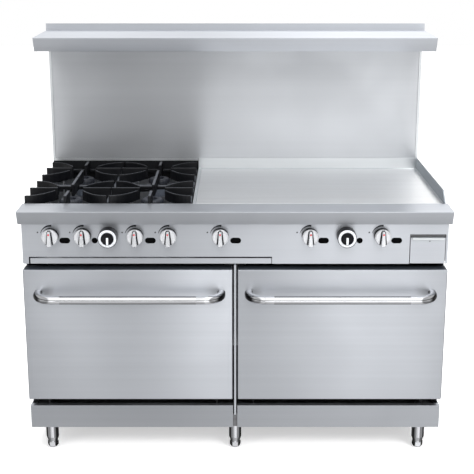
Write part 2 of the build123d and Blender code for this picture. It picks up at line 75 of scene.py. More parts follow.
KNOB_Z = middle(span("left_oven_dial")[2])
KNOB_REAR = 47
SIGHT_Z = KNOB_Z - 18
SIGHT_SLOTS = (-603, -300, 2, 313, 572)
SIGHT_HOLES = (-497, 441)
SLOT_LENGTH = 38
SLOT_HEIGHT = 21
HINGE_INSET = 60
FORWARD = Vector((0, -1, 0))


# Materials

def new_material(name, colour, metallic, roughness):
    material = bpy.data.materials.new(name)
    material.use_nodes = True
    shader = material.node_tree.nodes["Principled BSDF"]
    shader.inputs["Base Color"].default_value = (*colour, 1)
    shader.inputs["Metallic"].default_value = metallic
    shader.inputs["Roughness"].default_value = roughness
    return material


def shader_input(material, name):
    return material.node_tree.nodes["Principled BSDF"].inputs[name]


def join(material, output, target):
    material.node_tree.links.new(output, target)


def noise(material, scale, detail):
    """Noise over the piece's own coordinates, with a scale for each axis in cycles per metre."""
    nodes = material.node_tree.nodes
    place = nodes.new("ShaderNodeTexCoord")
    mapping = nodes.new("ShaderNodeMapping")
    mapping.inputs["Scale"].default_value = scale
    texture = nodes.new("ShaderNodeTexNoise")
    texture.inputs["Scale"].default_value = 1
    texture.inputs["Detail"].default_value = detail
    join(material, place.outputs["Object"], mapping.inputs["Vector"])
    join(material, mapping.outputs["Vector"], texture.inputs["Vector"])
    return texture.outputs["Fac"]


def remapped(material, value, low, high, start=0.3, end=0.7):
    """A value between start and end, mapped to lie between low and high."""
    node = material.node_tree.nodes.new("ShaderNodeMapRange")
    node.inputs["From Min"].default_value = start
    node.inputs["From Max"].default_value = end
    node.inputs["To Min"].default_value = low
    node.inputs["To Max"].default_value = high
    join(material, value, node.inputs["Value"])
    return node.outputs["Result"]


def mixed(material, factor, first, second):
    node = material.node_tree.nodes.new("ShaderNodeMix")
    node.data_type = "RGBA"
    node.inputs[6].default_value = (*first, 1)
    node.inputs[7].default_value = (*second, 1)
    join(material, factor, node.inputs[0])
    return node.outputs[2]


def raise_surface(material, height, strength, distance):
    bump = material.node_tree.nodes.new("ShaderNodeBump")
    bump.inputs["Strength"].default_value = strength
    bump.inputs["Distance"].default_value = distance * MM
    join(material, height, bump.inputs["Height"])
    join(material, bump.outputs["Normal"], shader_input(material, "Normal"))


def scaled(colour, factor):
    return tuple(min(1, channel * factor) for channel in colour)


def brushed(name, colour, roughness, grain, streak, strength=0.05, pull=0.85):
    """Steel with a fine straight grain along X, which smears reflections across the grain."""
    material = new_material(name, colour, 1, roughness)
    shader_input(material, "Anisotropic").default_value = pull
    shader_input(material, "Anisotropic Rotation").default_value = 0.25
    along = material.node_tree.nodes.new("ShaderNodeCombineXYZ")
    along.inputs["X"].default_value = 1
    join(material, along.outputs["Vector"], shader_input(material, "Tangent"))
    rough = remapped(material, noise(material, (5, 5, 5), 2), roughness - 0.03, roughness + 0.04)
    join(material, rough, shader_input(material, "Roughness"))
    tone = noise(material, streak, 3)
    shade = mixed(material, remapped(material, tone, 0, 1), scaled(colour, 0.975), scaled(colour, 1.02))
    join(material, shade, shader_input(material, "Base Color"))
    raise_surface(material, noise(material, grain, 3), strength, 0.02)
    return material


def grey_ramp(owner, value, stops, tint=(1, 1, 1)):
    """Greys that follow a value between -1 and 1, from (value, grey) stops."""
    ramp = owner.node_tree.nodes.new("ShaderNodeValToRGB")
    join(owner, remapped(owner, value, 0, 1, -1, 1), ramp.inputs["Fac"])
    while len(ramp.color_ramp.elements) < len(stops):
        ramp.color_ramp.elements.new(0.5)
    for element, (place, grey) in zip(ramp.color_ramp.elements, stops):
        element.position = (place + 1) / 2
        element.color = (*scaled(tint, grey), 1)
    return ramp.outputs["Color"]


def facing(material, axis):
    """How far the surface faces along one of the piece's own axes, from -1 to 1."""
    nodes = material.node_tree.nodes
    place = nodes.new("ShaderNodeTexCoord")
    split = nodes.new("ShaderNodeSeparateXYZ")
    join(material, place.outputs["Normal"], split.inputs["Vector"])
    return split.outputs[axis]


def polished(name, colour, roughness, axis=None, stops=()):
    """Bright metal with faint wipe marks, and painted dark reflections in bands along the sides of a
    bar or tube.
    """
    material = new_material(name, colour, 1, roughness)
    wipes = noise(material, (30, 30, 90), 3)
    rough = remapped(material, wipes, roughness * 0.7, roughness * 1.6)
    join(material, rough, shader_input(material, "Roughness"))
    # Painted reflections: the colour darkens in bands by which way the surface faces.
    if axis:
        shade = grey_ramp(material, facing(material, axis), stops, colour)
        join(material, shade, shader_input(material, "Base Color"))
    return material


def cast(name, colour, roughness, grit, strength, painted_top_highlight=None):
    """Cast iron: sandy, with uneven colour and gloss, and a painted highlight that greys its upward
    faces.
    """
    material = new_material(name, colour, 0, roughness)
    sand = noise(material, (grit, grit, grit), 4)
    shade = mixed(material, remapped(material, sand, 0, 1), scaled(colour, 0.7), scaled(colour, 1.5))
    # Painted highlight: upward faces are mixed to a lighter grey.
    if painted_top_highlight:
        top = remapped(material, facing(material, "Z"), 0, 1, 0.8, 0.97)
        highlight_mix = material.node_tree.nodes.new("ShaderNodeMix")
        highlight_mix.data_type = "RGBA"
        highlight_mix.inputs[7].default_value = (*painted_top_highlight, 1)
        join(material, top, highlight_mix.inputs[0])
        join(material, shade, highlight_mix.inputs[6])
        shade = highlight_mix.outputs[2]
    join(material, shade, shader_input(material, "Base Color"))
    rough = remapped(material, noise(material, (60, 60, 60), 3), roughness - 0.1, roughness + 0.12)
    join(material, rough, shader_input(material, "Roughness"))
    raise_surface(material, sand, strength, 0.5)
    return material


def mottled(name, colour, metallic, roughness, scale, contrast):
    """A plain finish with a fine mottle in colour and gloss."""
    material = new_material(name, colour, metallic, roughness)
    spots = noise(material, (scale, scale, scale), 4)
    shade = mixed(material, remapped(material, spots, 0, 1), scaled(colour, 1 - contrast),
                  scaled(colour, 1 + contrast))
    join(material, shade, shader_input(material, "Base Color"))
    rough = remapped(material, spots, roughness * 0.85, min(1, roughness * 1.2))
    join(material, rough, shader_input(material, "Roughness"))
    return material


def woven(name, colour):
    """Heat-proof rope: a tight diagonal braid."""
    material = new_material(name, colour, 0, 0.9)
    waves = material.node_tree.nodes.new("ShaderNodeTexWave")
    waves.inputs["Scale"].default_value = 150
    waves.inputs["Distortion"].default_value = 1.5
    place = material.node_tree.nodes.new("ShaderNodeTexCoord")
    join(material, place.outputs["Object"], waves.inputs["Vector"])
    join(material, mixed(material, waves.outputs["Fac"], scaled(colour, 0.6), scaled(colour, 1.5)),
         shader_input(material, "Base Color"))
    raise_surface(material, waves.outputs["Fac"], 0.6, 0.6)
    return material


STEEL = (0.66, 0.685, 0.73)
GRAIN = (4, 900, 900)
STREAK = (0.5, 60, 60)
sheet_steel = brushed("sheet_steel", STEEL, 0.36, GRAIN, STREAK)
riser_steel = brushed("riser_steel", (0.68, 0.7, 0.73), 0.36, GRAIN, (0.3, 25, 25))
top_steel = brushed("griddle_steel", (0.96, 0.97, 0.98), 0.42, GRAIN, (2, 40, 60), 0.08, 0.5)
splash_steel = brushed("splash_steel", (0.82, 0.85, 0.87), 0.34, GRAIN, STREAK)
# A darker copy of the splash steel for the right splash's side: painted shade.
dark_splash = brushed("splash_side_steel", (0.42, 0.46, 0.5), 0.34, (900, 4, 900), (60, 1, 60), 0.05, 0)
mill_steel = mottled("mill_steel", (0.5, 0.51, 0.53), 0.9, 0.42, 45, 0.12)
inner_steel = mottled("inner_steel", (0.2, 0.2, 0.21), 0.7, 0.5, 60, 0.2)
# Darker copies of the body steel: painted shade, slight on the ledge and deeper on the kick plates
# under the doors.
ledge_steel = brushed("ledge_steel", scaled(STEEL, 0.9), 0.36, GRAIN, STREAK)
kick_steel = brushed("kick_steel", scaled(STEEL, 0.68), 0.36, GRAIN, STREAK)
# Greys by which way the surface faces: painted dark reflections down a tube's sides, and painted shade
# and dark reflections along a bar's underside and top.
TUBE_PAINTED_REFLECTIONS = [(-1, 0.8), (-0.97, 0.7), (-0.93, 0.05), (-0.68, 0.03), (-0.5, 0.9), (0.5, 0.9),
              (0.68, 0.03), (0.93, 0.05), (0.97, 0.7), (1, 0.8)]
BAR_PAINTED_SHADE_AND_REFLECTIONS = [(-1, 0.4), (-0.97, 0.3), (-0.92, 0.07), (-0.66, 0.08), (-0.52, 0.8), (0.86, 0.95),
             (0.92, 0.12), (0.98, 0.12), (1, 0.6)]
chrome = polished("chrome", (0.93, 0.94, 0.97), 0.07, "X", TUBE_PAINTED_REFLECTIONS)
satin = polished("satin_bar", (0.93, 0.94, 0.97), 0.17, "Z", BAR_PAINTED_SHADE_AND_REFLECTIONS)
bright_grip = mottled("bright_grip", (0.62, 0.63, 0.655), 0.6, 0.22, 90, 0.03)
bright_cap = mottled("bright_cap", (0.66, 0.67, 0.695), 0.5, 0.36, 120, 0.02)
leg_chrome = polished("leg_chrome", (0.9, 0.91, 0.95), 0.12, "X", TUBE_PAINTED_REFLECTIONS)
wire_chrome = polished("wire_chrome", (0.7, 0.7, 0.71), 0.2)
# The last colour is a painted highlight that greys the grates' upward faces.
grate_iron = cast("grate_iron", (0.0022, 0.0025, 0.0036), 0.45, 700, 0.15, (0.055, 0.06, 0.07))
burner_iron = cast("burner_iron", (0.018, 0.02, 0.026), 0.45, 500, 0.3)
venturi_iron = cast("venturi_iron", (0.07, 0.08, 0.1), 0.45, 400, 0.3)
# Near-black for the burner box: its dark enamel, darkened further as painted shade in the deep box.
box_black = mottled("box_black", (0.0025, 0.003, 0.0042), 0, 0.55, 80, 0.3)
# Near-black with almost no gloss: painted shade for the dark space behind the sight slots.
shade_card_black = mottled("shade_card_black", (0.001, 0.001, 0.0014), 0, 0.8, 80, 0.3)
shader_input(shade_card_black, "Specular IOR Level").default_value = 0.1
# Near-black for the doors' top faces: painted dark reflection.
painted_reflection_strip = mottled("door_top_painted_reflection", (0.035, 0.041, 0.052), 0, 0.5, 90, 0.12)
oven_enamel = mottled("oven_enamel", (0.035, 0.037, 0.045), 0.1, 0.28, 420, 0.5)
brass = mottled("valve_brass", (0.62, 0.45, 0.2), 1, 0.3, 120, 0.1)
aluminium = mottled("pilot_aluminium", (0.85, 0.86, 0.88), 0.9, 0.25, 200, 0.06)
rope = woven("gasket_rope", (0.2, 0.2, 0.19))
black_plastic = mottled("black_plastic", (0.004, 0.004, 0.006), 0, 0.3, 300, 0.15)
ring_white = mottled("ring_white", (0.72, 0.74, 0.78), 0.2, 0.35, 150, 0.04)
# Black for the panel's print, the dial marks and the drawer's rivet, and also for the knobs' painted
# groove shade.
print_and_shade_black = mottled("print_and_shade_black", (0.004, 0.005, 0.009), 0, 0.6, 200, 0.2)
for dark_finish in (black_plastic, print_and_shade_black):
    shader_input(dark_finish, "Specular IOR Level").default_value = 0.18
mark_red = mottled("mark_red", (0.42, 0.012, 0.02), 0, 0.6, 200, 0.15)

NODE_FINISH = {
    "base_frame": inner_steel,
    "side_panels": sheet_steel,
    "rear_panel": mill_steel,
    "centre_post": sheet_steel,
    "kick_plates": kick_steel,
    "leg_tubes": leg_chrome,
    "riser_back": mill_steel,
    "burner_box": box_black,
    "griddle_burners": inner_steel,
    "grease_trough": sheet_steel,
    "gas_manifold": inner_steel,
    "gas_valves": brass,
    "oven_burners": inner_steel,
    "oven_floor_panels": oven_enamel,
    "door_hinges": inner_steel,
    "panel_screws": wire_chrome,
    "crumb_tray": sheet_steel,
    "grease_drawer": sheet_steel,
    "burner_venturis": venturi_iron,
    "pilot_burners": aluminium,
}
ENDING_FINISH = {
    "_door_liner": oven_enamel,
    "_door_gasket": rope,
    "_oven_liner": oven_enamel,
    "_oven_rack": wire_chrome,
}


def finish_of(node):
    """The material of a CAD node, whether or not a piece stands for it."""
    for ending, material in ENDING_FINISH.items():
        if node.endswith(ending):
            return material
    if node.startswith("foot_"):
        return leg_chrome
    return NODE_FINISH.get(node, sheet_steel)


for node_name, node_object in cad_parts.items():
    node_object.data.materials.clear()
    node_object.data.materials.append(finish_of(node_name))


# Mesh building

def add_block(bm, x, depth, z):
    """A box between two X values, two distances behind the ledge edge, and two heights."""
    low = at(x[0], depth[0], z[0])
    high = at(x[1], depth[1], z[1])
    size = high - low
    place = Matrix.Translation((low + high) / 2) @ Matrix.Diagonal((size.x, size.y, size.z, 1))
    bmesh.ops.create_cube(bm, size=1, matrix=place)


def add_prism(bm, outline, offset):
    """A solid between a flat outline of points and the same outline moved by an offset."""
    near = [bm.verts.new(point) for point in outline]
    far = [bm.verts.new(point + offset) for point in outline]
    bm.faces.new(near[::-1])
    bm.faces.new(far)
    for index, corner in enumerate(near):
        following = (index + 1) % len(near)
        bm.faces.new((corner, near[following], far[following], far[index]))


def add_turned(bm, profile, centre, axis, segments=48):
    """A solid turned about an axis, from (radius, distance along the axis) pairs."""
    side = Vector((0, 0, 1)) if abs(axis.z) < 0.5 else Vector((1, 0, 0))
    across = axis.cross(side)
    rings = []
    for radius, along in profile:
        middle_point = centre + axis * along * MM
        if radius == 0:
            rings.append([bm.verts.new(middle_point)])
            continue
        turn = [2 * pi * step / segments for step in range(segments)]
        rings.append([bm.verts.new(middle_point + (side * cos(a) + across * sin(a)) * radius * MM)
                      for a in turn])
    for first, second in zip(rings, rings[1:]):
        for step in range(segments):
            following = (step + 1) % segments
            corners = [first[step % len(first)], first[following % len(first)],
                       second[following % len(second)], second[step % len(second)]]
            bm.faces.new(list(dict.fromkeys(corners)))
    return rings


def add_tube(bm, points, radii, segments=32):
    """A round bar through points in one horizontal plane, with a radius at each point."""
    up = Vector((0, 0, 1))
    rings = []
    for index, point in enumerate(points):
        ahead = points[min(index + 1, len(points) - 1)]
        behind = points[max(index - 1, 0)]
        across = (ahead - behind).normalized().cross(up)
        turn = [2 * pi * step / segments for step in range(segments)]
        rings.append([bm.verts.new(point + (up * cos(a) + across * sin(a)) * radii[index] * MM)
                      for a in turn])
    for first, second in zip(rings, rings[1:]):
        for step in range(segments):
            following = (step + 1) % segments
            bm.faces.new((first[step], first[following], second[following], second[step]))
    bm.faces.new(rings[0][::-1])
    bm.faces.new(rings[-1])


def shifted(points, distance):
    """The points of an open path moved to its left by a distance, with mitred corners."""
    normals = []
    for start, end in zip(points, points[1:]):
        run = hypot(end[0] - start[0], end[1] - start[1])
        normals.append(((start[1] - end[1]) / run, (end[0] - start[0]) / run))
    moved = []
    for index, point in enumerate(points):
        before = normals[max(index - 1, 0)]
        after = normals[min(index, len(normals) - 1)]
        scale = distance / (1 + before[0] * after[0] + before[1] * after[1])
        moved.append((point[0] + (before[0] + after[0]) * scale,
                      point[1] + (before[1] + after[1]) * scale))
    return moved


def rounded(points, radius, steps=6):
    """An open path with each inner corner replaced by an arc of short straight steps."""
    path = [Vector(points[0])]
    for before, corner, after in zip(points, points[1:], points[2:]):
        here = Vector(corner)
        back_way = (Vector(before) - here).normalized()
        on_way = (Vector(after) - here).normalized()
        half_turn = (pi - back_way.angle(on_way)) / 2
        reach = radius * sin(half_turn) / cos(half_turn)
        centre = here + (back_way + on_way).normalized() * radius / cos(half_turn)
        first = here + back_way * reach - centre
        last = here + on_way * reach - centre
        for step in range(steps + 1):
            share = step / steps
            path.append(centre + first.slerp(last, share))
    path.append(Vector(points[-1]))
    return [(point.x, point.y) for point in path]


def sheet_outline(path, thickness, bend):
    """The outline of a sheet folded along a path that is its right side."""
    centre_line = rounded(shifted(path, thickness / 2), bend - thickness / 2)
    return shifted(centre_line, -thickness / 2) + shifted(centre_line, thickness / 2)[::-1]


def add_folded(bm, path, thickness, bend, x):
    """Sheet metal folded along X, from (distance behind the ledge edge, height) points."""
    outline = [at(x[0], depth, height) for depth, height in sheet_outline(path, thickness, bend)]
    add_prism(bm, outline, Vector(((x[1] - x[0]) * MM, 0, 0)))


def make(name, bm, body, material, stands_for=(), soften=0.0, sharp=35):
    """Turns a built mesh into a named piece that rides on a body and stands for CAD nodes."""
    bmesh.ops.recalc_face_normals(bm, faces=bm.faces)
    return place_mesh(name, mesh_of(name, bm), body, material, stands_for, soften, sharp)


def place_mesh(name, mesh, body, material, stands_for=(), soften=0.0, sharp=35):
    mesh.materials.clear()
    mesh.materials.append(material)
    mesh.shade_smooth()
    mesh.set_sharp_from_angle(angle=radians(sharp))
    piece = bpy.data.objects.new(name, mesh)
    bpy.context.scene.collection.objects.link(piece)
    if soften:
        bevel = piece.modifiers.new("soft_edges", "BEVEL")
        bevel.width = soften * MM
        bevel.segments = 3
        bevel.limit_method = "ANGLE"
        bevel.angle_limit = radians(sharp)
        bevel.harden_normals = True
    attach(piece, body)
    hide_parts(*stands_for)
    return piece


def held(name, shape):
    """A temporary object that holds a mesh or curve while its modifiers are worked out."""
    holder = bpy.data.objects.new(name, shape)
    bpy.context.scene.collection.objects.link(holder)
    return holder


def evaluated(holder):
    """The final mesh of a temporary object, which is then removed."""
    depsgraph = bpy.context.evaluated_depsgraph_get()
    mesh = bpy.data.meshes.new_from_object(holder.evaluated_get(depsgraph))
    bpy.data.objects.remove(holder)
    return mesh


def mesh_of(name, bm):
    mesh = bpy.data.meshes.new(name)
    bm.to_mesh(mesh)
    bm.free()
    return mesh


def notched(bm, notches):
    """The mesh of a built shape with boxes cut out of it, each given as X, depth and Z pairs."""
    whole = held("whole", mesh_of("whole", bm))
    bm = bmesh.new()
    for x, depth, z in notches:
        add_block(bm, x, depth, z)
    cutter = held("cutter", mesh_of("cutter", bm))
    cut = whole.modifiers.new("cut", "BOOLEAN")
    cut.operation = "DIFFERENCE"
    cut.solver = "EXACT"
    cut.object = cutter
    mesh = evaluated(whole)
    bpy.data.objects.remove(cutter)
    return mesh


def circle(x, z, radius, count=40):
    turn = [2 * pi * step / count for step in range(count)]
    return [(x + radius * cos(a), z + radius * sin(a)) for a in turn]


def long_hole(x, z, length, height, count=16):
    """The outline of a slot with round ends."""
    radius = height / 2
    reach = length / 2 - radius
    points = []
    for side, start in ((1, -pi / 2), (-1, pi / 2)):
        for step in range(count + 1):
            a = start + pi * step / count
            points.append((x + side * reach + radius * cos(a), z + radius * sin(a)))
    return points


def rectangle(x, z):
    return [(x[0], z[0]), (x[1], z[0]), (x[1], z[1]), (x[0], z[1])]


def flat_plate(name, outlines, depth):
    """A forward-facing plate's mesh: the first outline is its edge, and the others are holes."""
    soft = 0.3
    curve = bpy.data.curves.new(name, "CURVE")
    curve.dimensions = "2D"
    curve.fill_mode = "BOTH"
    curve.extrude = ((depth[1] - depth[0]) / 2 - soft) * MM
    curve.bevel_depth = soft * MM
    curve.bevel_resolution = 1
    curve.offset = -soft * MM
    for outline in outlines:
        spline = curve.splines.new("POLY")
        spline.points.add(len(outline) - 1)
        spline.use_cyclic_u = True
        for point, (x, z) in zip(spline.points, outline):
            point.co = (x * MM, z * MM, 0, 1)
    mesh = evaluated(held(name, curve))
    bpy.data.curves.remove(curve)
    mesh.transform(Matrix.Translation(at(0, middle(depth), 0)) @ Matrix.Rotation(pi / 2, 4, "X"))
    return mesh


# The body's sheet metal

LEAN = 22
FOLD_SHEET = 2
FOLD_BEND = 4
END_PLATE = 1.5


def build_end_plates(name, outline, x):
    """A flat plate that closes each end of a folded sheet."""
    for side, edge in zip(SIDES, (x[0], x[1] - END_PLATE)):
        bm = bmesh.new()
        add_prism(bm, [at(edge, d, height) for d, height in outline], Vector((END_PLATE * MM, 0, 0)))
        make(f"{name}_end_{side}", bm, ROOT, sheet_steel)


def build_ledge():
    """The plate rail: a folded sheet with a leaning face, and a plate that closes each end."""
    x, depth, z = span("front_ledge")
    face = 54
    hem = 40
    inset = 2.2
    foot = depth[0] + LEAN
    bottom = z[1] - face
    path = [(foot + hem, bottom), (foot, bottom), (depth[0], z[1]), (depth[1], z[1]), (depth[1], z[0])]
    bm = bmesh.new()
    add_folded(bm, path[::-1], FOLD_SHEET, FOLD_BEND, x)
    make("ledge", bm, ROOT, ledge_steel, ["front_ledge"], 0.6)
    rear = depth[1] - inset
    end = [(depth[0] + 3, z[1] - inset), (foot + 1, bottom + inset), (foot + hem - 2, bottom + inset),
           (rear, z[0] + 1), (rear, z[1] - inset)]
    build_end_plates("ledge", end, x)


def build_shelf():
    """The high shelf: a leaning front lip, a flat top, the rear upturn and two end plates."""
    x, depth, z = span("high_shelf")
    lip = 57
    hem = 22
    upturn = 30
    top = z[1] - upturn
    foot = depth[0] + LEAN
    bottom = top - lip
    path = [(foot + hem, bottom), (foot, bottom), (depth[0], top), (depth[1], top), (depth[1], z[1])]
    bm = bmesh.new()
    add_folded(bm, path[::-1], FOLD_SHEET, FOLD_BEND, x)
    make("shelf", bm, ROOT, sheet_steel, ["high_shelf"], 0.6)
    rear = depth[1] - 2
    end = [(depth[0] + 2, top - 3), (foot + 1, bottom + 1), (rear, bottom + 1), (rear, top - 1)]
    build_end_plates("shelf", end, x)


def build_riser():
    """The riser's front skin with its returns, and the proud border down each side."""
    x, depth, z = span("riser_panel")
    sheet = 1.5
    border = 10
    border_foot = z[0] + 88
    front = depth[1] - 58.5
    bm = bmesh.new()
    add_block(bm, x, (front, front + sheet), z)
    add_block(bm, x, (front, depth[1]), (z[1] - sheet, z[1]))
    for edge in ((x[0], x[0] + sheet), (x[1] - sheet, x[1])):
        add_block(bm, edge, (front, depth[1]), z)
    make("riser_skin", bm, ROOT, riser_steel, ["riser_panel"], 0.3)
    for side, edge in zip(SIDES, ((x[0], x[0] + border), (x[1] - border, x[1]))):
        bm = bmesh.new()
        add_block(bm, edge, (depth[0], front), (border_foot, z[1]))
        make(f"riser_border_{side}", bm, ROOT, splash_steel, (), 1.0)


def build_panel():
    """The control panel with its sight slots and the cut-outs for knobs, tray and drawer."""
    x, depth, z = span("control_panel")
    tray_x, _, tray_z = span("crumb_tray")
    drawer_x, _, drawer_z = span("grease_drawer")
    gap = 5
    fit = 2
    stem_hole = 6
    tray_left = tray_x[0] - gap
    tray_right = tray_x[1] + fit
    tray_top = tray_z[1] + gap
    drawer_left = drawer_x[0] - fit
    drawer_right = drawer_x[1] + fit
    drawer_top = drawer_z[1] + 9
    edge = [(x[0], z[1]), (x[0], z[0]), (tray_left, z[0]), (tray_left, tray_top),
            (tray_right, tray_top), (tray_right, z[0]), (drawer_left, z[0]),
            (drawer_left, drawer_top), (drawer_right, drawer_top), (drawer_right, z[0]),
            (x[1], z[0]), (x[1], z[1])]
    outlines = [edge]
    for knob in KNOBS + DIALS:
        outlines.append(circle(middle(span(knob)[0]), KNOB_Z, stem_hole))
    for slot_x in SIGHT_SLOTS:
        outlines.append(long_hole(slot_x, SIGHT_Z, SLOT_LENGTH, SLOT_HEIGHT))
    for hole_x in SIGHT_HOLES:
        outlines.append(circle(hole_x, SIGHT_Z, SLOT_HEIGHT / 2))
    mesh = flat_plate("panel", outlines, depth)
    place_mesh("panel", mesh, ROOT, sheet_steel, ["control_panel"])


def build_sight_boxes():
    """Near-black cards behind the sight slots: painted shade for the dark space behind them."""
    rear = span("control_panel")[1][1]
    reach = SLOT_LENGTH / 2 + 3
    height = (SIGHT_Z - 12, SIGHT_Z + 12)
    for number, slot_x in enumerate(SIGHT_SLOTS + SIGHT_HOLES, 1):
        bm = bmesh.new()
        add_block(bm, (slot_x - reach, slot_x + reach), (rear + 1, rear + 2), height)
        make(f"sight_shade_card_{number}", bm, ROOT, shade_card_black)


# Knobs and dials

# Turned shapes are (radius, distance forward) pairs, and flat ones are (X, height) pairs.
KNOB_SKIRT = [(0, 0), (28, 0), (28.9, 1), (28.9, 20), (28.2, 21), (0, 21)]
KNOB_CAP = [(0, 21), (28.6, 21), (29.4, 21.6), (29.4, 25), (28.6, 27.6), (26.6, 29.4), (24.5, 30),
            (24, 29.6), (0, 29.6)]
KNOB_MARK = [(0, 43.6), (3.4, 43.6), (3.4, 44.3), (0, 44.3)]
KNOB_GRIP = [(-4.6, 25), (4.6, 25), (8.6, -29.5), (-8.6, -29.5)]
# Flat black shapes beside and above the grip: painted shade for the gaps round it.
KNOB_GROOVE_SHADES = [[(4.4, 23), (8, 23), (13.4, -24), (8.6, -26)],
                [(-4.4, 23), (-8, 23), (-13.4, -24), (-8.6, -26)],
                [(-8, 22), (8, 22), (4.5, 27.4), (-4.5, 27.4)]]
DIAL_SKIRT = [(0, 0), (33, 0), (34, 1), (34, 38.6), (33.4, 39.4), (0, 39.4)]
DIAL_RING = [(0, 39.2), (31.6, 39.2), (31.6, 40), (0, 40)]
DIAL_HUB = [(0, 40), (22.5, 40), (22.5, 43.5), (21, 45.2), (19, 45.8), (17.5, 45.2), (0, 45.2)]
DIAL_POINTER = [(-3.8, 5), (3.8, 5), (3.8, -20), (-3.8, -20)]
PRINT = 0.15


def add_flat(bm, outline, x, forward, thickness):
    """A flat shape on a knob or dial at an X, so far in front of its rear face."""
    points = [at(x + px, KNOB_REAR - forward, KNOB_Z + pz) for px, pz in outline]
    add_prism(bm, points, FORWARD * thickness * MM)


def build_knob(node):
    """A bright cap with a tapered grip bar, on a black skirt, with a small red mark."""
    x = middle(span(node)[0])
    centre = at(x, KNOB_REAR, KNOB_Z)
    bm = bmesh.new()
    add_turned(bm, KNOB_SKIRT, centre, FORWARD)
    make(f"{node}_skirt", bm, node, black_plastic)
    bm = bmesh.new()
    add_turned(bm, KNOB_CAP, centre, FORWARD, 64)
    make(f"{node}_cap", bm, node, bright_cap, [node])
    bm = bmesh.new()
    add_flat(bm, KNOB_GRIP, x, 28, 16)
    make(f"{node}_grip", bm, node, bright_grip, (), 2.4, 30)
    # Thin black shapes round the grip: painted shade of its gaps.
    bm = bmesh.new()
    for outline in KNOB_GROOVE_SHADES:
        add_flat(bm, outline, x, 29.4, 0.55)
    make(f"{node}_groove_shades", bm, node, print_and_shade_black)
    bm = bmesh.new()
    mark_height = Vector((0, 0, 15 * MM))
    add_turned(bm, KNOB_MARK, centre + mark_height, FORWARD, 24)
    make(f"{node}_mark", bm, node, mark_red)


def add_arc_band(bm, x, z, start, end, radius, width, depth):
    """A flat curved stroke that swells from a point to its full width."""
    steps = 20
    point_share = 0.2
    outer = []
    inner = []
    for step in range(steps + 1):
        share = step / steps
        angle = radians(start + (end - start) * share)
        half = width * (point_share + (1 - point_share) * share) / 2
        outer.append((x + (radius + half) * cos(angle), z + (radius + half) * sin(angle)))
        inner.append((x + (radius - half) * cos(angle), z + (radius - half) * sin(angle)))
    outline = outer + inner[::-1]
    add_prism(bm, [at(px, depth, pz) for px, pz in outline], FORWARD * PRINT * MM)


def add_star(bm, x, z, radius, depth):
    """A small five-pointed mark."""
    outline = []
    inner_share = 0.45
    for step in range(10):
        reach = radius if step % 2 == 0 else radius * inner_share
        angle = pi / 2 + pi * step / 5
        outline.append(at(x + reach * cos(angle), depth, z + reach * sin(angle)))
    add_prism(bm, outline, FORWARD * PRINT * MM)


def build_knob_prints():
    """The printed turning marks on the panel: a swelling arc and a small star at each knob."""
    depth = span("control_panel")[1][0]
    for knob in KNOBS:
        x = middle(span(knob)[0])
        bm = bmesh.new()
        add_arc_band(bm, x, KNOB_Z, 166, 84, 36.5, 6.5, depth)
        add_star(bm, x - 46, KNOB_Z + 12, 4, depth)
        make(f"{knob}_print", bm, ROOT, print_and_shade_black)


def build_dial(node):
    """An oven thermostat dial: black skirt, bright graduated ring, black hub and white pointer."""
    x = middle(span(node)[0])
    centre = at(x, KNOB_REAR, KNOB_Z)
    bm = bmesh.new()
    add_turned(bm, DIAL_SKIRT, centre, FORWARD, 64)
    make(f"{node}_skirt", bm, node, black_plastic, [node])
    bm = bmesh.new()
    add_turned(bm, DIAL_RING, centre, FORWARD, 64)
    make(f"{node}_ring", bm, node, ring_white)
    bm = bmesh.new()
    add_dial_marks(bm, centre)
    make(f"{node}_marks", bm, node, print_and_shade_black)
    bm = bmesh.new()
    add_turned(bm, DIAL_HUB, centre, FORWARD, 64)
    make(f"{node}_hub", bm, node, black_plastic)
    bm = bmesh.new()
    add_flat(bm, DIAL_POINTER, x, 45, 0.8)
    make(f"{node}_pointer", bm, node, ring_white)


def add_dial_marks(bm, centre):
    """Short strokes round a dial's ring, every third one longer."""
    half_width = 0.4
    outer = 30.5
    base = centre + FORWARD * 39.9 * MM
    for step in range(28):
        angle = radians(-225 + step * 10)
        inner = 27 if step % 3 == 0 else 28.5
        out = Vector((cos(angle), 0, sin(angle)))
        across = Vector((-sin(angle), 0, cos(angle))) * half_width * MM
        near = base + out * inner * MM
        far = base + out * outer * MM
        stroke = [near - across, near + across, far + across, far - across]
        add_prism(bm, stroke, FORWARD * 0.25 * MM)


# Doors

def build_door(side):
    """A door's shell: a shallow tray with soft edges, notched for the hinge arms, with a near-black
    strip on top as a painted dark reflection.
    """
    node = f"{side}_door_skin"
    x, depth, z = span(node)
    outline = rectangle(x, z)
    bm = bmesh.new()
    front = [bm.verts.new(at(px, depth[0], pz)) for px, pz in outline]
    rear = [bm.verts.new(at(px, depth[1], pz)) for px, pz in outline]
    bm.faces.new(front)
    for index in range(4):
        following = (index + 1) % 4
        bm.faces.new((front[index], rear[index], rear[following], front[following]))
    corners = [edge for edge in bm.edges if len(edge.link_faces) == 2]
    bmesh.ops.bevel(bm, geom=corners, offset=3 * MM, segments=5, affect="EDGES", profile=0.5)
    bmesh.ops.recalc_face_normals(bm, faces=bm.faces)
    bmesh.ops.solidify(bm, geom=bm.faces[:], thickness=1.5 * MM)
    notch_depth = (depth[0] + 26, depth[1] + 4)
    notch_z = (z[0] - 2, z[0] + 5)
    arms = (x[0] + HINGE_INSET, x[1] - HINGE_INSET)
    shell = notched(bm, [((arm - 5, arm + 5), notch_depth, notch_z) for arm in arms])
    place_mesh(f"{side}_door_shell", shell, f"{side}_door", sheet_steel, [node], 0, 30)
    bm = bmesh.new()
    # Near-black strip over the door's top face: painted dark reflection.
    add_block(bm, (x[0] + 3, x[1] - 3), (depth[0] + 3, depth[1] - 1), (z[1] - 0.6, z[1] + 0.2))
    make(f"{side}_door_top", bm, f"{side}_door", painted_reflection_strip)


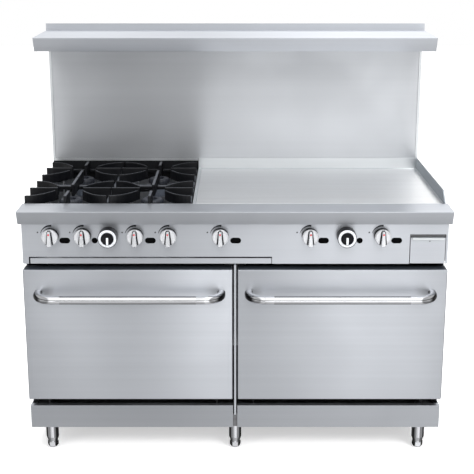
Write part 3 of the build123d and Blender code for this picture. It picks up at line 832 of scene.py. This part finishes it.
def elbow_path(post_x, joint_x, door_front, bar_depth, height):
    """Points along an elbow from the door's face to the end of the handle's bar."""
    bend = 60
    towards = 1 if joint_x > post_x else -1
    straight = door_front - bar_depth - bend
    points = [at(post_x, door_front - straight * share, height) for share in (0, 0.5)]
    steps = 24
    for step in range(steps + 1):
        angle = pi / 2 * step / steps
        along = post_x + towards * bend * (1 - cos(angle))
        points.append(at(along, bar_depth + bend * (1 - sin(angle)), height))
    points.append(at(joint_x, bar_depth, height))
    return points


def build_handle(side):
    """The handle: a straight polished bar between two chrome elbows that reach back to the door."""
    body = f"{side}_door"
    x, depth, z = span(f"{side}_handle_bar")
    height = middle(z)
    bar_depth = middle(depth)
    radius = (z[1] - z[0]) / 2
    length = x[1] - x[0]
    rail = [(0, 0), (radius, 0), (radius, length), (0, length)]
    bm = bmesh.new()
    add_turned(bm, rail, at(x[0], bar_depth, height), Vector((1, 0, 0)), 64)
    make(f"{side}_handle_rail", bm, body, satin, [f"{side}_handle_bar"])
    ends_x, _, ends_z = span(f"{side}_handle_ends")
    elbow = (ends_z[1] - ends_z[0]) / 2
    door_front = span(f"{side}_door_skin")[1][0]
    posts = {"west": (ends_x[0] + elbow, x[0]), "east": (ends_x[1] - elbow, x[1])}
    for place, (post_x, joint_x) in posts.items():
        points = elbow_path(post_x, joint_x, door_front, bar_depth, height)
        bm = bmesh.new()
        add_tube(bm, points, [elbow] * len(points))
        stands_for = [f"{side}_handle_ends"] if place == "west" else []
        make(f"{side}_elbow_{place}", bm, body, chrome, stands_for)


def build_drawer():
    """The grease drawer: an open pan, a flat front, and a bright rolled lip along its top."""
    node = "grease_drawer"
    x, depth, z = span(node)
    wall = 1.2
    inset = 4
    front = span("control_panel")[1][0]
    pan_x = (x[0] + inset, x[1] - inset)
    pan_depth = (front + wall, depth[1])
    pan_z = (z[0] + 2, z[1] - 12)
    bm = bmesh.new()
    add_block(bm, pan_x, pan_depth, (pan_z[0], pan_z[0] + wall))
    add_block(bm, (pan_x[0], pan_x[0] + wall), pan_depth, pan_z)
    add_block(bm, (pan_x[1] - wall, pan_x[1]), pan_depth, pan_z)
    add_block(bm, pan_x, (depth[1] - wall, depth[1]), pan_z)
    make("drawer_pan", bm, node, sheet_steel, [node], 0.3)
    face = front - 1.5
    bm = bmesh.new()
    add_block(bm, x, (face, front + wall), (z[0], z[1] - 3))
    make("drawer_front", bm, node, sheet_steel, (), 0.5)
    reach = front - 9
    lip = [(front - 1, z[1] - 12), (reach, z[1] - 11), (reach, z[1] - 2), (front + 1, z[1])]
    bm = bmesh.new()
    add_folded(bm, lip[::-1], wall, 2.4, (x[0] + 5, x[1] - 5))
    make("drawer_lip", bm, node, splash_steel, (), 0.3)
    rivet = [(0, 0), (1.8, 0), (1.8, 0.5), (0, 0.9)]
    bm = bmesh.new()
    add_turned(bm, rivet, at(middle(x) + 6, face, z[1] - 16), FORWARD, 24)
    make("drawer_rivet", bm, node, print_and_shade_black)
    bm = bmesh.new()
    add_block(bm, (x[0] - 2, x[1] + 2), (front + 6, front + 7), (z[1] - 2, z[1] + 12))
    make("drawer_recess", bm, ROOT, inner_steel)


# Cooktop

def build_griddle():
    """The griddle plate and the welded splash round it, with a weld bead along their joint."""
    x, depth, z = span("griddle_plate")
    bm = bmesh.new()
    add_block(bm, x, depth, z)
    make("griddle", bm, ROOT, top_steel, ["griddle_plate"], 1.2)
    around_x, around_depth, (bottom, top) = span("griddle_splash")
    front = around_depth[0]
    bm = bmesh.new()
    add_block(bm, around_x, (depth[1], around_depth[1]), (bottom, top))
    make("splash_rear", bm, ROOT, splash_steel, ["griddle_splash"], 0.8)
    slope = 41
    low_edge = z[1] + 11
    side = [(front, bottom), (depth[1], bottom), (depth[1], top), (front + slope, top),
            (front, low_edge)]
    thickness = around_x[1] - x[1]
    bm = bmesh.new()
    add_prism(bm, [at(x[1], d, height) for d, height in side], Vector((thickness * MM, 0, 0)))
    make("splash_right", bm, ROOT, dark_splash, (), 0.8)
    bm = bmesh.new()
    add_block(bm, (around_x[0], x[0]), (front, depth[1]), (bottom, z[1] + 4))
    make("splash_left", bm, ROOT, splash_steel, (), 1.0)
    bead = 3
    rear_bead = [(x[0], depth[1], z[1]), (x[0], depth[1] - bead, z[1]), (x[0], depth[1], z[1] + bead)]
    side_bead = [(x[1], depth[0], z[1]), (x[1] - bead, depth[0], z[1]), (x[1], depth[0], z[1] + bead)]
    bm = bmesh.new()
    add_prism(bm, [at(*corner) for corner in rear_bead], Vector(((x[1] - x[0]) * MM, 0, 0)))
    add_prism(bm, [at(*corner) for corner in side_bead], Vector((0, (depth[1] - depth[0]) * MM, 0)))
    make("weld_bead", bm, ROOT, splash_steel)


def add_cast_bar(bm, start, end, top_width, foot_width, z):
    """A straight cast bar with drafted sides, between two points in plan."""
    start = Vector((*start, 0)) * MM
    end = Vector((*end, 0)) * MM
    along = (end - start).normalized()
    across = Vector((-along.y, along.x, 0))
    corners = [(-foot_width, z[0]), (foot_width, z[0]), (top_width, z[1]), (-top_width, z[1])]
    outline = [start + across * half * MM / 2 + Vector((0, 0, height * MM)) for half, height in corners]
    add_prism(bm, outline, end - start)


def finger_points(side_x, side_y, half):
    """Points in plan along a curved pot-support finger, from near the open centre outwards."""
    corners = [(52, 38), (92, 114), (half - 5, 118)]
    start, control, end = (Vector((side_x * px, side_y * py, 0)) for px, py in corners)
    points = []
    steps = 8
    for step in range(steps + 1):
        t = step / steps
        points.append(start * (1 - t) ** 2 + control * 2 * t * (1 - t) + end * t * t)
    return points


def add_finger(bm, points, centre, z):
    """A curved finger made of short bars that overlap at their ends."""
    overlap = 2
    top_width = 5.5
    foot_width = 8
    for first, second in zip(points, points[1:]):
        ahead = (second - first).normalized() * overlap
        start = first - ahead
        end = second + ahead
        ends = [(point.x, point.y + centre) for point in (start, end)]
        add_cast_bar(bm, *ends, top_width, foot_width, z)


def grate_mesh(node):
    """One cast grate section about its own middle, remeshed so that its bars melt together."""
    x, depth, z = span(node)
    row = burner_rows()[0 if "front" in node else 1]
    centre = row - middle(depth)
    half_x = (x[1] - x[0]) / 2
    half_y = (depth[1] - depth[0]) / 2
    rim = 12
    divider = 11
    voxel = 2.5
    rim_z = (z[0], z[0] + 14)
    finger_z = (z[0] + 8, z[1] - 1)
    bm = bmesh.new()
    for side in (-1, 1):
        edge = side * (half_x - rim / 2)
        add_cast_bar(bm, (edge, -half_y), (edge, half_y), rim, rim, rim_z)
        edge = side * (half_y - rim / 2)
        add_cast_bar(bm, (-half_x, edge), (half_x, edge), rim, rim, rim_z)
        add_cast_bar(bm, (side * OPEN_CENTRE, centre), (side * half_x, centre), 6, 10, z)
        add_cast_bar(bm, (0, centre + side * OPEN_CENTRE), (0, side * half_y), divider, divider, z)
        for side_y in (-1, 1):
            add_finger(bm, finger_points(side, side_y, half_x), centre, finger_z)
    bmesh.ops.recalc_face_normals(bm, faces=bm.faces)
    return remeshed(mesh_of("grate_bars", bm), voxel)


def remeshed(mesh, voxel):
    """The mesh melted into one skin of small cells and smoothed a little, like a casting."""
    holder = held("casting", mesh)
    skin = holder.modifiers.new("skin", "REMESH")
    skin.mode = "VOXEL"
    skin.voxel_size = voxel * MM
    smooth = holder.modifiers.new("smooth", "SMOOTH")
    smooth.iterations = 3
    smooth.factor = 0.5
    return evaluated(holder)


def burner_rows():
    """The front and rear burners' distances behind the ledge edge."""
    depth = span("burner_heads")[1]
    return depth[0] + PORT_RING, depth[1] - PORT_RING


def build_grates():
    for node in GRATES:
        x, depth, _ = span(node)
        mesh = grate_mesh(node)
        mesh.transform(Matrix.Translation(at(middle(x), middle(depth), 0)))
        place_mesh(f"{node}_casting", mesh, node, grate_iron, [node], 0, 60)


# The ring head's outline as (radius, height) pairs. Its ports are cut at two of its points.
HEAD = [(19, 0), (19, 31), (20, 31), (35, 31), (37, 30.2), (42, 25), (42.4, 23.5), (42.4, 14),
        (41, 12.6), (33.5, 8.5), (33, 7.5), (33, 0), (19, 0)]
PORT_POINTS = slice(5, 7)


def build_burner_heads():
    """Ring burner heads with a row of flame ports round their upper edge."""
    x, _, z = span("burner_heads")
    segments = 96
    port_depth = 2.2 * MM
    places = [(column, row) for column in (x[0] + PORT_RING, x[1] - PORT_RING) for row in burner_rows()]
    for number, (column, row) in enumerate(places, 1):
        centre = at(column, row, z[0])
        bm = bmesh.new()
        rings = add_turned(bm, HEAD, centre, Vector((0, 0, 1)), segments)
        for ring in rings[PORT_POINTS]:
            for step in range(segments):
                if step % 4 < 2:
                    spoke = ring[step].co - centre
                    spoke.z = 0
                    ring[step].co -= spoke.normalized() * port_depth
        bmesh.ops.remove_doubles(bm, verts=bm.verts, dist=0.00001)
        stands_for = ["burner_heads"] if number == 1 else []
        make(f"burner_head_{number}", bm, ROOT, burner_iron, stands_for, 0, 30)


def build_rear_hem():
    """The bright rolled top edge of the wall behind the open burners."""
    x, depth, z = span("burner_box")
    tall = 11
    thickness = 1.1
    right = span("griddle_splash")[0][0] - 1
    rear = depth[1] - 2.1
    bm = bmesh.new()
    add_block(bm, (x[0] + 1, right), (rear - thickness, rear), (z[1] - tall, z[1]))
    make("rear_hem", bm, ROOT, splash_steel, (), 0.4)


build_ledge()
build_shelf()
build_riser()
build_panel()
build_sight_boxes()
build_knob_prints()
for knob_node in KNOBS:
    build_knob(knob_node)
for dial_node in DIALS:
    build_dial(dial_node)
for door_side in SIDES:
    build_door(door_side)
    build_handle(door_side)
build_drawer()
build_griddle()
build_grates()
build_burner_heads()
build_rear_hem()


# Studio

def white_floor():
    """A pale floor, left out of reflections, which take their light from the world instead."""
    bm = bmesh.new()
    bmesh.ops.create_grid(bm, x_segments=1, y_segments=1, size=15)
    mesh = bpy.data.meshes.new("floor")
    bm.to_mesh(mesh)
    bm.free()
    material = new_material("floor_white", (0.95, 0.95, 0.95), 0, 0.9)
    shader_input(material, "Emission Color").default_value = (1, 1, 1, 1)
    shader_input(material, "Emission Strength").default_value = 0.45
    mesh.materials.append(material)
    floor = bpy.data.objects.new("floor", mesh)
    bpy.context.scene.collection.objects.link(floor)
    floor.visible_glossy = False


FROM_BELOW_TO_ABOVE = [
    (-1, 0.3), (-0.8, 0.31), (-0.6, 0.42), (-0.42, 0.57), (-0.28, 0.69), (-0.15, 1.05),
    (-0.03, 1.03), (0.04, 0.25), (0.32, 0.28), (0.42, 0.95), (1, 0.85)]
FROM_LEFT_TO_RIGHT = [
    (-1, 0.25), (-0.5, 0.2), (-0.34, 0.56), (-0.19, 0.65), (-0.1, 0.62), (-0.03, 0.5),
    (0.03, 0.7), (0.1, 0.86), (0.17, 0.82), (0.22, 0.74), (0.34, 0.8), (0.5, 0.2), (1, 0.25)]
SURROUND_STRENGTH = 2.35


def background(world, strength):
    node = world.node_tree.nodes.new("ShaderNodeBackground")
    node.inputs["Color"].default_value = (1, 1, 1, 1)
    node.inputs["Strength"].default_value = strength
    return node


def soft_world():
    """White behind the range, and a soft grey surround, lighter to the right, in reflections."""
    world = bpy.data.worlds.new("studio")
    world.use_nodes = True
    nodes = world.node_tree.nodes
    nodes.clear()
    bpy.context.scene.world = world
    place = nodes.new("ShaderNodeTexCoord")
    split = nodes.new("ShaderNodeSeparateXYZ")
    join(world, place.outputs["Generated"], split.inputs["Vector"])
    product = nodes.new("ShaderNodeMath")
    product.operation = "MULTIPLY"
    join(world, grey_ramp(world, split.outputs["Z"], FROM_BELOW_TO_ABOVE), product.inputs[0])
    join(world, grey_ramp(world, split.outputs["X"], FROM_LEFT_TO_RIGHT), product.inputs[1])
    strength = remapped(world, product.outputs["Value"], 0, SURROUND_STRENGTH, 0, 1)
    surround = background(world, 1)
    join(world, strength, surround.inputs["Strength"])
    backdrop = background(world, 1)
    path = nodes.new("ShaderNodeLightPath")
    mix = nodes.new("ShaderNodeMixShader")
    output = nodes.new("ShaderNodeOutputWorld")
    join(world, path.outputs["Is Camera Ray"], mix.inputs["Fac"])
    join(world, surround.outputs["Background"], mix.inputs[1])
    join(world, backdrop.outputs["Background"], mix.inputs[2])
    join(world, mix.outputs["Shader"], output.inputs["Surface"])


def softbox(name, place, aim, size, power):
    """A rectangular area light that points at a place."""
    light = bpy.data.lights.new(name, "AREA")
    light.shape = "RECTANGLE"
    light.size = size[0]
    light.size_y = size[1]
    light.energy = power
    lamp = bpy.data.objects.new(name, light)
    lamp.location = place
    lamp.visible_glossy = False
    lamp.rotation_euler = (Vector(aim) - Vector(place)).to_track_quat("-Z", "Y").to_euler()
    bpy.context.scene.collection.objects.link(lamp)


def dark_flag(name, x, y, z, value):
    """An upright grey card in front of the range that only reflections see."""
    bm = bmesh.new()
    corners = [(x[0], y, z[0]), (x[1], y, z[0]), (x[1], y, z[1]), (x[0], y, z[1])]
    bm.faces.new([bm.verts.new(corner) for corner in corners])
    mesh = bpy.data.meshes.new(name)
    bm.to_mesh(mesh)
    bm.free()
    material = new_material(name, (0, 0, 0), 0, 1)
    shader_input(material, "Emission Color").default_value = (value, value, value, 1)
    shader_input(material, "Emission Strength").default_value = 1
    mesh.materials.append(material)
    card = bpy.data.objects.new(name, mesh)
    bpy.context.scene.collection.objects.link(card)
    card.visible_camera = False
    card.visible_diffuse = False
    card.visible_shadow = False


def camera():
    data = bpy.data.cameras.new("camera")
    data.sensor_width = 36
    data.lens = 78.09
    data.shift_y = -0.078
    shot = bpy.data.objects.new("camera", data)
    shot.location = (0.0068, LEDGE_FRONT - 3.447, 1.839)
    shot.rotation_euler = (pi / 2 - 0.2453, 0, 0)
    bpy.context.scene.collection.objects.link(shot)
    bpy.context.scene.camera = shot


white_floor()
soft_world()
softbox("key", (2.4, -3.0, 3.0), (0.2, 0, 0.8), (1.6, 1.6), 90)
softbox("top", (0, -0.6, 3.6), (0, 0, 0.9), (3.0, 1.6), 110)
softbox("fill", (-2.8, -2.6, 2.0), (-0.2, 0, 0.7), (1.4, 1.8), 30)
dark_flag("left_flag", (-1.45, -0.29), -4.6, (-0.5, 1.2), 0.42)
camera()
bpy.context.scene.view_settings.view_transform = "Standard"
